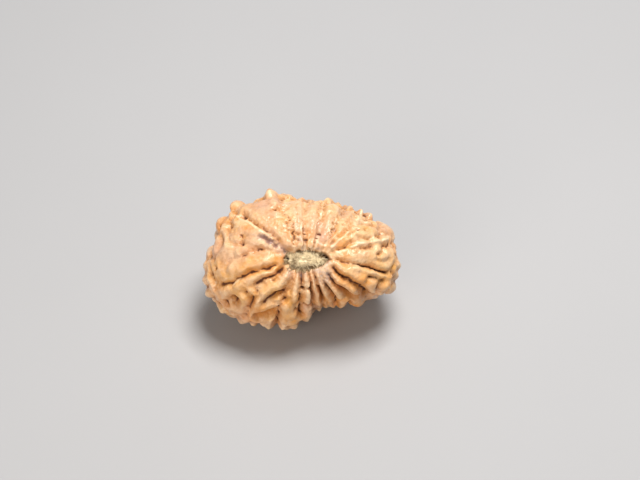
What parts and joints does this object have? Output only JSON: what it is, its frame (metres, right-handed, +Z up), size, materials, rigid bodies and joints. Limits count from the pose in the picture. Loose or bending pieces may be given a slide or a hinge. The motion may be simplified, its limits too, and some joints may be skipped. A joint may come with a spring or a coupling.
{
  "type": "rudraksha seed",
  "caption": "Oblong woody fruit stone with branching ridges, knobs and furrows fanning out from a slit-shaped stalk scar that holds pale pith.",
  "frame": {"origin": "bottom centre of the bounding box, as the seed lies on a level surface", "axes": "+X along the seed and along the slit of its scar, +Z up; the scar looks towards -Y and up, 48 degrees above the horizon"},
  "size_m": [0.0342, 0.0237, 0.0225],
  "materials": {
    "woody_stone": "dry, hard, dull to faintly glossy",
    "dry_pith": "dry, soft, matte"
  },
  "bodies": {
    "root": {"rudraksha_seed": "woody_stone", "pith_fibres": "dry_pith"}
  },
  "joints": []
}
